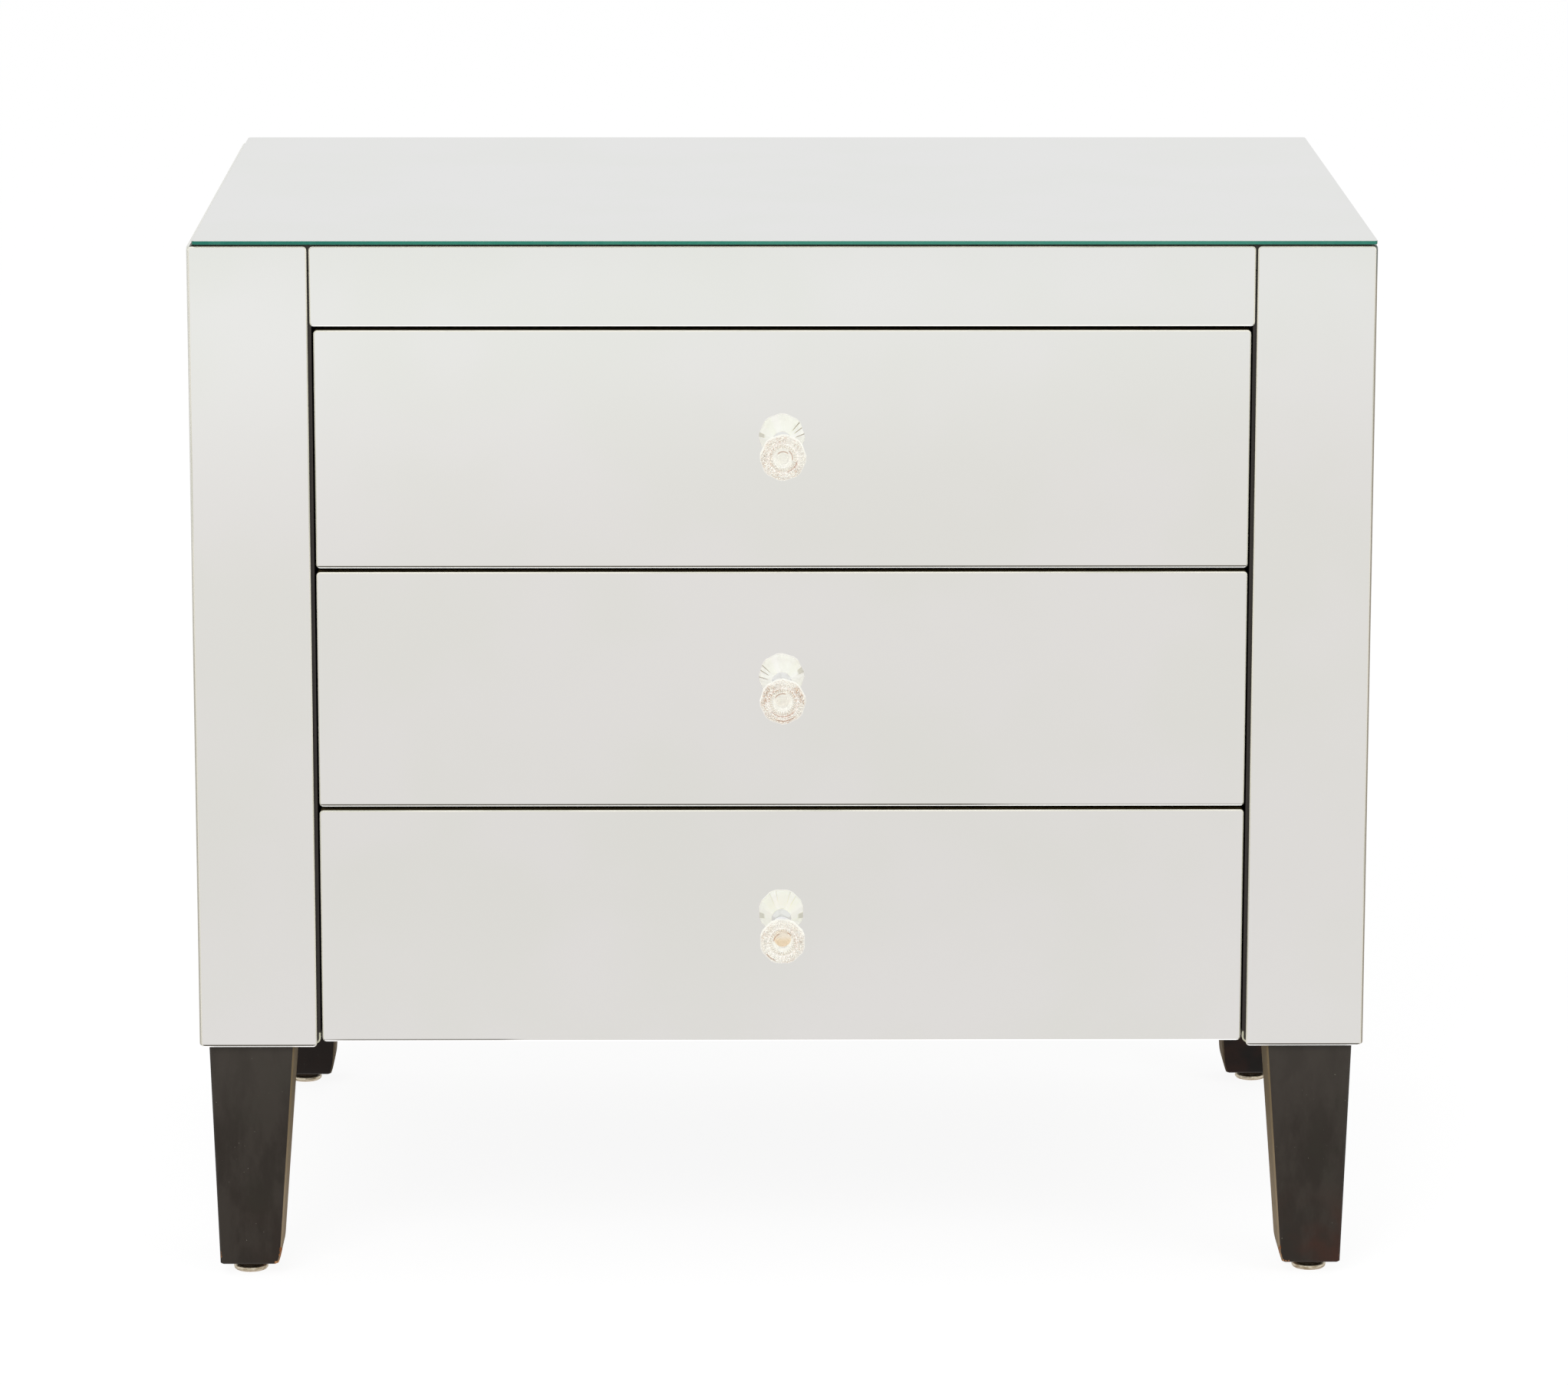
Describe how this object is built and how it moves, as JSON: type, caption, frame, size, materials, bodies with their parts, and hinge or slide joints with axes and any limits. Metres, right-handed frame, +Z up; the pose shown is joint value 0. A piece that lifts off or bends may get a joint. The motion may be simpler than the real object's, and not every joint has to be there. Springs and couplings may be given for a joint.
{
  "type": "chest of drawers",
  "caption": "Mirrored chest of drawers: glass-clad case, stacked flush drawers with faceted glass knobs, tapered dark legs on metal glides.",
  "frame": {"origin": "on the floor under the middle of the whole outline, knobs included", "axes": "+Z up, the front faces -Y, +X to the right of someone who faces the front"},
  "size_m": [0.813, 0.62, 0.7368],
  "materials": {
    "mirror": "silvered float glass, ground arris",
    "case_paint": "satin black-brown paint on board",
    "back_board": "flat dark paint on thin board",
    "leg_paint": "satin black-brown paint on hardwood, worn at the toes",
    "glide_metal": "worn nickel over brass colour",
    "drawer_wood": "clear lacquered light wood",
    "slide_steel": "cream epoxy coat with nylon rollers",
    "knob_glass": "clear pressed glass",
    "chrome": "polished chrome"
  },
  "bodies": {
    "case": {"top_panel": "case_paint", "bottom_panel": "case_paint", "back_panel": "back_board", "top_rail": "case_paint", "side_panel_left": "case_paint", "post_left": "case_paint", "partition_left": "case_paint", "side_mirror_left": "mirror", "post_mirror_left": "mirror", "side_panel_right": "case_paint", "post_right": "case_paint", "partition_right": "case_paint", "side_mirror_right": "mirror", "post_mirror_right": "mirror", "top_mirror": "mirror", "rail_mirror": "mirror", "leg_front_left": "leg_paint", "glide_front_left": "glide_metal", "leg_front_right": "leg_paint", "glide_front_right": "glide_metal", "leg_rear_left": "leg_paint", "glide_rear_left": "glide_metal", "leg_rear_right": "leg_paint", "glide_rear_right": "glide_metal", "top_case_slide_left": "slide_steel", "top_case_slide_right": "slide_steel", "middle_case_slide_left": "slide_steel", "middle_case_slide_right": "slide_steel", "bottom_case_slide_left": "slide_steel", "bottom_case_slide_right": "slide_steel"},
    "top_drawer": {"top_drawer_mirror": "mirror", "top_drawer_front": "case_paint", "top_drawer_side_left": "drawer_wood", "top_drawer_side_right": "drawer_wood", "top_drawer_back": "drawer_wood", "top_drawer_bottom": "drawer_wood", "top_drawer_knob": "knob_glass", "top_drawer_knob_stem": "chrome", "top_drawer_slide_left": "slide_steel", "top_drawer_slide_right": "slide_steel"},
    "middle_drawer": {"middle_drawer_mirror": "mirror", "middle_drawer_front": "case_paint", "middle_drawer_side_left": "drawer_wood", "middle_drawer_side_right": "drawer_wood", "middle_drawer_back": "drawer_wood", "middle_drawer_bottom": "drawer_wood", "middle_drawer_knob": "knob_glass", "middle_drawer_knob_stem": "chrome", "middle_drawer_slide_left": "slide_steel", "middle_drawer_slide_right": "slide_steel"},
    "bottom_drawer": {"bottom_drawer_mirror": "mirror", "bottom_drawer_front": "case_paint", "bottom_drawer_side_left": "drawer_wood", "bottom_drawer_side_right": "drawer_wood", "bottom_drawer_back": "drawer_wood", "bottom_drawer_bottom": "drawer_wood", "bottom_drawer_knob": "knob_glass", "bottom_drawer_knob_stem": "chrome", "bottom_drawer_slide_left": "slide_steel", "bottom_drawer_slide_right": "slide_steel"}
  },
  "joints": [
    {"name": "top_drawer_slide", "type": "slide", "parent": "case", "child": "top_drawer", "axis": [0, -1, 0], "range_m": [0, 0.3375]},
    {"name": "middle_drawer_slide", "type": "slide", "parent": "case", "child": "middle_drawer", "axis": [0, -1, 0], "range_m": [0, 0.3375]},
    {"name": "bottom_drawer_slide", "type": "slide", "parent": "case", "child": "bottom_drawer", "axis": [0, -1, 0], "range_m": [0, 0.3375]}
  ]
}
